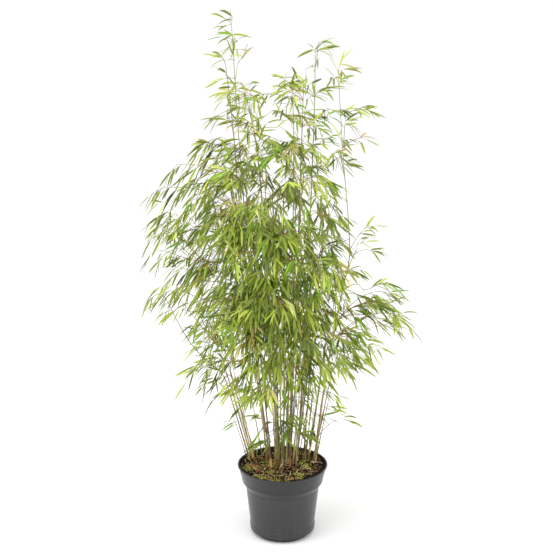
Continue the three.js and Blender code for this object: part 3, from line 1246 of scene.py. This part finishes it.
    def side_twig(self, start: np.ndarray, reach: tuple[float, float], grown: Grown) -> None:
        """Grows a short bent side twig with three sprays from a joint.

        Args:
            start: the joint.
            reach: the shortest and longest that the twig may be.
            grown: the piece that it belongs to.
        """
        rng = grown.rng
        turn, length = rng.uniform(0, math.tau), rng.uniform(*reach)
        way = unit(np.array((math.cos(turn), math.sin(turn), rng.uniform(0.3, 1.1))))
        t = np.linspace(0, 1, 6)[:, None]
        line = start + way * length * t - UP * 0.25 * length * t**2
        tube(grown.twigs, line, np.linspace(0.9, 0.5, 6) * MM, sides=4, slot=self.bark(rng))
        for at, side in ((3, 1.0), (4, -1.0), (5, 0.0)):
            self.spray(line[at], unit(line[at] - line[at - 1]), side, grown)

    def crown_leaders(self, grown: Grown) -> None:
        """Dresses the leaders' tops: side twigs low down, sprays higher, a fan at each tip."""
        rng = grown.rng
        for name, stem in self.clump.stems.items():
            if not name.startswith("leader"):
                continue
            for joint in stem.joints:
                start = stem.line[joint]
                if self.bare_below < start[2] < self.thins_at:
                    for _ in range(int(rng.integers(1, 3)) + ("right" in name)):
                        self.side_twig(start, self.leader_reach, grown)
                elif start[2] > self.thins_at and rng.random() < self.top_share:
                    self.spray(start, stem.way(joint), rng.choice((-1.0, 1.0)), grown)
            end, way = stem.line[-1], stem.way(len(stem.line) - 1)
            for side in (-1.0, 0.0, 1.0):
                self.spray(end, way, side, grown)

    def fill_heart(self, grown: Grown) -> None:
        """Grows side twigs in the crown's heart, and a few sprays on the bare canes under it."""
        rng, hanging = grown.rng, replace(grown, growth=GROWTHS[Habit.SKIRT])
        low, high = self.heart
        for name, stem in self.clump.stems.items():
            for joint in stem.joints:
                start = stem.line[joint]
                if self.hem < start[2] < low and rng.random() < self.hem_share:
                    way = unit(stem.way(joint) + 5 * start * LEVEL + rng.normal(0, 0.35, 3))
                    self.spray(start, way, rng.choice((-1.0, 1.0)), hanging)
                thin = name.startswith(("cane", "shoot"))
                if thin and low < start[2] < high and rng.random() < self.heart_share:
                    self.side_twig(start, self.heart_reach, grown)

    def build(self) -> None:
        """Makes the leaves and the twigs of every mass, of the leaders and of the heart."""
        greens = [green.make() for green in self.greens]
        barks = [bark.make() for bark in self.barks]

        def grow(name: str, number: int, habit: Habit, nodes: Sequence[str], way: Callable) -> None:
            """Grows one part in the given way and makes its two pieces."""
            grown = Grown(GROWTHS[habit], np.random.default_rng(SEED * 100 + number))
            way(grown)
            dropped = grown.blades.within(self.limit_low, self.limit_high)
            self.leaf_total += len(grown.blades.each)
            LOG.info("%s: %d leaves, %d left out", name, len(grown.blades.each), dropped)
            settle(grown.blades.build(f"leaves_{name}", greens), nodes)
            settle(grown.twigs.build(f"twigs_{name}", barks))

        for number, mass in enumerate(self.masses.each):
            nodes = [f"foliage_{mass.name}"]
            grow(mass.name, number, mass.habit, nodes, partial(self.fill, mass))
        grow("leaders", 90, Habit.SPIRE, (), self.crown_leaders)
        grow("heart", 91, Habit.CURTAIN, (), self.fill_heart)
        LOG.info("leaves in all: %d", self.leaf_total)


# --------------------------------------------------------------------------- pot and compost


def ring_of(
    profile: Sequence[tuple[float, float]], start: float, sweep: float, steps: int
) -> bmesh.types.BMesh:
    """Spins a closed profile about the upright axis.

    Args:
        profile: radius and height of each corner, in order.
        start: the angle that it starts at, in degrees from +X.
        sweep: how far it goes, in degrees.
        steps: how many steps that takes.

    Returns:
        A new bmesh with the closed solid.
    """
    made = bmesh.new()
    turned = Matrix.Rotation(math.radians(start), 3, "Z")
    verts = [made.verts.new(turned @ Vector((r, 0, z))) for r, z in profile]
    face = made.faces.new(verts)
    full = abs(sweep) >= 360
    geometry = list(face.edges) if full else [face, *face.edges, *verts]
    if full:
        made.faces.remove(face)
    bmesh.ops.spin(
        made, geom=geometry, cent=(0, 0, 0), axis=(0, 0, 1), angle=math.radians(sweep), steps=steps,
        use_merge=full,
    )
    bmesh.ops.remove_doubles(made, verts=made.verts, dist=1e-6)
    bmesh.ops.recalc_face_normals(made, faces=made.faces)
    return made


@dataclass
class Pot:
    """The flared nursery pot on its foot ring."""

    rim: float = 115 * MM
    rim_lip: float = 2 * MM
    rim_height: float = 2.4 * MM
    wall: float = 2.2 * MM
    collar_height: float = 28 * MM
    collar_foot: float = 106 * MM
    band_height: float = 15 * MM
    band_foot: float = 103.5 * MM
    step: float = 15 * MM
    body_top: float = 94 * MM
    body_foot: float = 83 * MM
    body_base: float = 34 * MM
    hem: float = 84 * MM
    hem_top: float = 29 * MM
    hem_base: float = 12.5 * MM
    ring: float = 70.5 * MM
    ring_width: float = 6.5 * MM
    ring_height: float = 11.5 * MM
    floor_low: float = 5 * MM
    floor_high: float = 8 * MM
    boss: float = 18 * MM
    gate: float = 30
    steps: int = 128
    arc_steps: int = 44
    boss_steps: int = 32
    edge: float = 0.6 * MM
    corner: float = 20
    crease: float = 11

    def profile(self, top: float) -> list[tuple[float, float]]:
        """The wall's closed section, from the middle of the underside round to the inside."""
        collar = top - self.collar_height
        band = collar - self.band_height
        shoulder = band - self.step
        return [
            (0.5 * MM, self.floor_low), (self.ring - self.ring_width - 1 * MM, self.floor_low),
            (self.ring - 2 * MM, self.ring_height), (self.hem - self.wall, self.ring_height),
            (self.hem - 1 * MM, self.hem_base), (self.hem, self.hem_top - 0.8 * MM),
            (self.hem - 1.2 * MM, self.hem_top), (self.body_foot, self.body_base),
            (self.body_top, shoulder), (self.body_top + 1 * MM, shoulder + 1.6 * MM),
            (self.band_foot - 1.4 * MM, band - 1.6 * MM), (self.band_foot, band),
            (self.collar_foot, collar), (self.collar_foot + 0.9 * MM, collar + 1 * MM),
            (self.rim - self.rim_lip - 1.5 * MM, top - self.rim_height - 6 * MM),
            (self.rim - self.rim_lip, top - self.rim_height - 1.4 * MM),
            (self.rim, top - self.rim_height), (self.rim, top - 0.5 * MM),
            (self.rim - 0.5 * MM, top),
            (self.rim - self.rim_lip - self.wall + 0.4 * MM, top),
            (self.rim - self.rim_lip - self.wall, top - 1 * MM),
            (self.collar_foot - self.wall, collar), (self.band_foot - self.wall, band),
            (self.body_top - self.wall, shoulder - 1 * MM),
            (self.body_foot - self.wall, self.body_base - 1 * MM),
            (self.hem - 2 * self.wall, self.hem_base + 2 * MM), (0.5 * MM, self.floor_high),
        ]

    def build(self) -> None:
        """Makes the pot's wall, its foot ring in two arcs and the boss underneath."""
        low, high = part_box("pot")
        whole = ring_of(self.profile(high.z), 0, 360, self.steps)
        sharp = [e for e in whole.edges if e.calc_face_angle(0) > math.radians(self.corner)]
        bmesh.ops.bevel(
            whole, geom=sharp, offset=self.edge, segments=2, profile=0.5, affect="EDGES",
            material=-1,
        )
        inside, hub = self.ring - self.ring_width, self.boss - 3 * MM
        arc = [
            (inside, low.z), (self.ring - 1 * MM, low.z), (self.ring, low.z + 1 * MM),
            (self.ring, self.ring_height + 0.5 * MM), (inside, self.ring_height + 0.5 * MM),
        ]
        boss = [
            (hub, low.z + 2 * MM), (self.boss, low.z + 2 * MM),
            (self.boss, self.floor_low + 0.5 * MM), (hub, self.floor_low + 0.5 * MM),
        ]
        sweep = 180 - 2 * self.gate
        parts = [ring_of(arc, start + self.gate, sweep, self.arc_steps) for start in (0, 180)]
        parts.append(ring_of(boss, 0, 360, self.boss_steps))
        for part in parts:
            gather(whole, part)
        mesh = finished(whole, "pot_shell", [PotPlastic().make()])
        mesh.set_sharp_from_angle(angle=math.radians(self.crease))
        settle(show(mesh), ["pot"])


@dataclass
class Bed:
    """The compost, with its crumbs, straws, moss and the dry sheaths that fell on it.

    reach: its radius. level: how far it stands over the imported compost, and brim: how much more at
    the edge. depth: its thickness there. mound: how wide it is heaped round a cane. rows and steps:
    its mesh from the middle out, and round. crumbs, straws, tufts and fallen: how many there are.
    patches: how many patches the moss has, of so many shoots to a tuft. sheath_top: the highest
    sheath, and sheath_share: how many of the joints under it have one.
    """

    clump: Clump
    reach: float = 107.6 * MM
    level: float = 1.5 * MM
    brim: float = 4.5 * MM
    depth: float = 14 * MM
    mound: float = 0.011
    rows: int = 44
    steps: int = 140
    crumbs: int = 2600
    straws: int = 210
    tufts: int = 950
    patches: int = 20
    shoots: int = 5
    fallen: int = 20
    sheath_top: float = 0.62
    sheath_share: float = 0.35
    seats: list[np.ndarray] = field(default_factory=list)

    def height(self, x: float, y: float) -> float:
        """The compost's height at a place."""
        bumps = noise.fractal(Vector((x * 38, y * 38, 3.1)), 0.9, 2.1, 4) * 2.6 * MM
        gaps = [(x - seat[0]) ** 2 + (y - seat[1]) ** 2 for seat in self.seats]
        heap = sum(math.exp(-gap / (2 * self.mound**2)) for gap in gaps)
        edge = min(max((math.hypot(x, y) - 0.6 * self.radius) / (0.4 * self.radius), 0), 1)
        return self.top + self.level + self.brim * edge**2 + bumps + 2.2 * MM * min(heap, 1.4)

    def build(self) -> None:
        """Makes the compost and all that lies on it."""
        _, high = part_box("soil")
        self.radius, self.top = self.reach, float(high.z)
        self.seats = [s.line[0] for n, s in self.clump.stems.items() if not n.startswith("branch")]
        self.ground()
        rng = np.random.default_rng(SEED + 5)
        shades = [
            Plain(f"litter_{kind.name.lower()}", kind.value, roughness=0.85, shine=0.15).make()
            for kind in Litter
        ]
        self.scatter(rng, shades)
        self.moss(rng, shades)
        self.sheaths(rng, shades)

    def ground(self) -> None:
        """The compost itself, spun from a line and raised into bumps."""
        made = bmesh.new()
        verts = [
            made.verts.new((0.2 * MM + self.radius * row / self.rows, 0, self.top))
            for row in range(self.rows + 1)
        ]
        verts.append(made.verts.new((self.radius - 8 * MM, 0, self.top - self.depth)))
        verts.append(made.verts.new((0.2 * MM, 0, self.top - self.depth)))
        edges = [made.edges.new(pair) for pair in zip(verts, verts[1:] + verts[:1])]
        bmesh.ops.spin(
            made, geom=edges, cent=(0, 0, 0), axis=(0, 0, 1), angle=math.tau, steps=self.steps,
            use_merge=True,
        )
        bmesh.ops.remove_doubles(made, verts=made.verts, dist=1e-6)
        bmesh.ops.recalc_face_normals(made, faces=made.faces)
        for vert in made.verts:
            if vert.co.z > self.top - 1 * MM:
                vert.co.z = self.height(vert.co.x, vert.co.y)
        settle(show(finished(made, "compost_bed", [Compost().make()])), ["soil"])

    def spot(self, rng: np.random.Generator, reach: float = 0.96) -> np.ndarray:
        """A place on the compost, by chance."""
        far, turn = self.radius * reach * math.sqrt(rng.random()), rng.uniform(0, math.tau)
        x, y = far * math.cos(turn), far * math.sin(turn)
        return np.array((x, y, self.height(x, y)))

    def scatter(self, rng: np.random.Generator, shades: Sequence[bpy.types.Material]) -> None:
        """Crumbs of compost, straws and short roots."""
        crumbs, fibres = Heap(), Heap()
        ball = np.vstack([np.eye(3)[:2], -np.eye(3)[:2], UP, -UP])
        faces = [(k, (k + 1) % 4, 4) for k in range(4)] + [((k + 1) % 4, k, 5) for k in range(4)]
        kinds = {Litter.BLACK: 0.66, Litter.BROWN: 0.2, Litter.RUST: 0.06, Litter.TAN: 0.08}
        for _ in range(self.crumbs):
            size = rng.uniform(0.6, 2.4) * MM * (1.5 if rng.random() < 0.08 else 1)
            angle, axis = rng.uniform(0, math.tau), Vector(rng.normal(0, 1, 3))
            turn = np.array(Matrix.Rotation(angle, 3, axis))
            corners = (ball * rng.uniform(0.6, 1.3, (6, 1)) * size) @ turn.T + self.spot(rng)
            crumbs.add(corners, faces, [pick(kinds, rng).slot] * len(faces))
        for _ in range(self.straws):
            at, turn = self.spot(rng, 0.9), rng.uniform(0, math.tau)
            length = rng.uniform(7, 34) * MM
            t = np.linspace(-0.5, 0.5, 5)
            bend = rng.uniform(-0.25, 0.25) * length
            flat = np.stack([t * length, bend * (4 * t * t - 1), 0.9 * MM + 0 * t], axis=1)
            line = flat @ np.array(Matrix.Rotation(turn, 3, "Z")).T + at
            for k, point in enumerate(line):
                line[k, 2] = self.height(point[0], point[1]) + 0.8 * MM
            kind = DRY[int(rng.integers(0, len(DRY)))]
            tube(fibres, line, np.full(5, rng.uniform(0.25, 0.7) * MM), sides=4, slot=kind.slot)
        settle(crumbs.build("compost_crumbs", shades))
        settle(fibres.build("compost_straws", shades))

    def moss(self, rng: np.random.Generator, shades: Sequence[bpy.types.Material]) -> None:
        """Low tufts of moss in patches."""
        tufts = Blades(stations=(0, 0.5, 1), outline=(0.9, 0.8, 0.1), fold=0.3)
        patches = [self.spot(rng, 0.92) for _ in range(self.patches)]
        for _ in range(self.tufts):
            patch = patches[int(rng.integers(0, len(patches)))]
            x, y = patch[:2] + rng.normal(0, 8.5 * MM, 2)
            if math.hypot(x, y) > self.radius * 0.96:
                continue
            base = np.array((x, y, self.height(x, y)))
            tone = Litter.MOSS if rng.random() < 0.38 else Litter.LIME
            for _ in range(self.shoots):
                way, facing = unit(UP + rng.normal(0, 0.75, 3)), rng.normal(0, 1, 3)
                length, width = rng.uniform(1.5, 4) * MM, rng.uniform(0.6, 1.3) * MM
                tufts.each.append(Blade(base, way, facing, length, width, sag=0.5, slot=tone.slot))
        settle(tufts.build("compost_moss", shades))

    def sheaths(self, rng: np.random.Generator, shades: Sequence[bpy.types.Material]) -> None:
        """Papery sheaths round the canes' feet and lower joints, and old leaves on the compost."""
        wraps = Heap()
        rows, columns = 5, 8
        pattern = [
            (r * columns + c, r * columns + c + 1, (r + 1) * columns + c + 1, (r + 1) * columns + c)
            for r in range(rows - 1) for c in range(columns - 1)
        ]
        for name, stem in self.clump.stems.items():
            if name.startswith(("branch", "shoot")):
                continue
            low = [joint for joint in stem.joints if stem.line[joint][2] < self.sheath_top]
            seats = [1] + [joint for joint in low if rng.random() < self.sheath_share]
            for joint in seats:
                tall = rng.uniform(12, 30) * MM
                way = stem.way(joint)
                side = unit(np.cross(way, (0.3, 1.0, 0.1)))
                other = np.cross(way, side)
                wide = stem.radii[joint] * rng.uniform(1.12, 1.28)
                begin = rng.uniform(0, math.tau)
                turn = begin + np.linspace(0, math.radians(rng.uniform(230, 320)), columns)
                t = np.linspace(0, 1, rows)[:, None]
                peak = 0.35 + 0.65 * np.sin(np.linspace(0, math.pi, columns))[None, :]
                rise = t * tall * peak
                swell = wide * (1 + 0.3 * t**2 * rng.uniform(0.2, 1.5))
                corners = (
                    stem.line[joint] + rise[..., None] * way
                    + (swell * np.cos(turn)[None, :])[..., None] * side
                    + (swell * np.sin(turn)[None, :])[..., None] * other
                )
                slot = pick({Litter.RUST: 0.4, Litter.TAN: 0.4, Litter.CREAM: 0.2}, rng).slot
                wraps.add(corners.reshape(-1, 3), pattern, [slot] * len(pattern))
        settle(wraps.build("cane_sheaths", shades))
        fallen = Blades()
        for _ in range(self.fallen):
            at = self.spot(rng, 0.84) + np.array((0, 0, 1.6 * MM))
            turn = rng.uniform(0, math.tau)
            way = np.array((math.cos(turn), math.sin(turn), rng.uniform(-0.02, 0.12)))
            tone = DRY[int(rng.integers(0, len(DRY)))]
            length = rng.uniform(14, 34) * MM
            if math.hypot(*(at + way * length)[:2]) > self.radius * 0.95:
                continue
            facing = UP + rng.normal(0, 0.3, 3)
            width = rng.uniform(2.5, 5) * MM
            fallen.each.append(Blade(at, way, facing, length, width, sag=0.08, slot=tone.slot))
        settle(fallen.build("compost_old_leaves", shades))


# --------------------------------------------------------------------------- studio


def aimed(place: Sequence[float], target: Sequence[float]) -> Euler:
    """The turn of a camera or lamp that looks from a place at a target."""
    return (Vector(target) - Vector(place)).to_track_quat("-Z", "Y").to_euler()


@dataclass
class Studio:
    """The pale floor, the soft light and the camera."""

    eye: tuple[float, float, float] = (-0.0154, -3.0, 1.5)
    target: tuple[float, float, float] = (-0.0154, 0.0, 0.683)
    lens: float = 82.3
    sensor: float = 36
    floor_size: float = 30.0
    sky: float = 1.06
    floor_tint: float = 0.95
    lit: tuple[float, float, float] = (0.0, 0.0, 0.6)
    lamps: tuple[tuple[str, tuple[float, float, float], float, float], ...] = (
        ("over", (-0.8, -1.2, 3.6), 50.0, 2.2),
        ("left", (-2.7, -1.0, 1.5), 24.0, 1.6),
        ("right", (2.7, -1.0, 1.5), 26.0, 1.6),
    )

    def build(self) -> None:
        """Sets everything up."""
        scene = bpy.context.scene
        scene.view_settings.view_transform = "Standard"
        world = bpy.data.worlds.new("studio")
        world.use_nodes = True
        background = world.node_tree.nodes["Background"]
        background.inputs["Color"].default_value = (1, 1, 1, 1)
        background.inputs["Strength"].default_value = self.sky
        scene.world = world
        made = bmesh.new()
        bmesh.ops.create_grid(made, x_segments=2, y_segments=2, size=self.floor_size)
        pale = Plain("pale_floor", (self.floor_tint,) * 3, roughness=0.9, shine=0.1).make()
        mesh = finished(made, "studio_floor", [pale], smooth=False)
        show(mesh)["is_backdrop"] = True
        for lamp in self.lamps:
            self.hang(*lamp)
        camera = bpy.data.objects.new("camera", bpy.data.cameras.new("camera"))
        scene.collection.objects.link(camera)
        camera.location = self.eye
        camera.rotation_euler = aimed(self.eye, self.target)
        camera.data.lens = self.lens
        camera.data.sensor_width = self.sensor
        scene.camera = camera

    def hang(self, name: str, place: tuple[float, float, float], power: float, size: float) -> None:
        """Hangs a square soft light that looks at the plant.

        Args:
            name: its name.
            place: where it hangs.
            power: its strength in watts.
            size: the length of its side.
        """
        light = bpy.data.lights.new(name, "AREA")
        light.energy, light.size = power, size
        lamp = bpy.data.objects.new(name, light)
        bpy.context.scene.collection.objects.link(lamp)
        lamp.location = place
        lamp.rotation_euler = aimed(place, self.lit)


def main() -> None:
    """Builds the whole plant and its studio."""
    logging.basicConfig(level=logging.INFO, format="%(message)s")
    packed_low, packed_high = (np.array(corner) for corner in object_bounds())
    side = packed_high - packed_low
    margin = side * OVERHANG_SHARE + OVERHANG
    Studio().build()
    masses = Masses.of_frame()
    clump = Clump()
    clump.trace(masses, np.random.default_rng(SEED))
    clump.build()
    Foliage(clump, masses, packed_low - margin, packed_high + margin).build()
    Pot().build()
    Bed(clump).build()


if __name__ == "__main__":
    main()
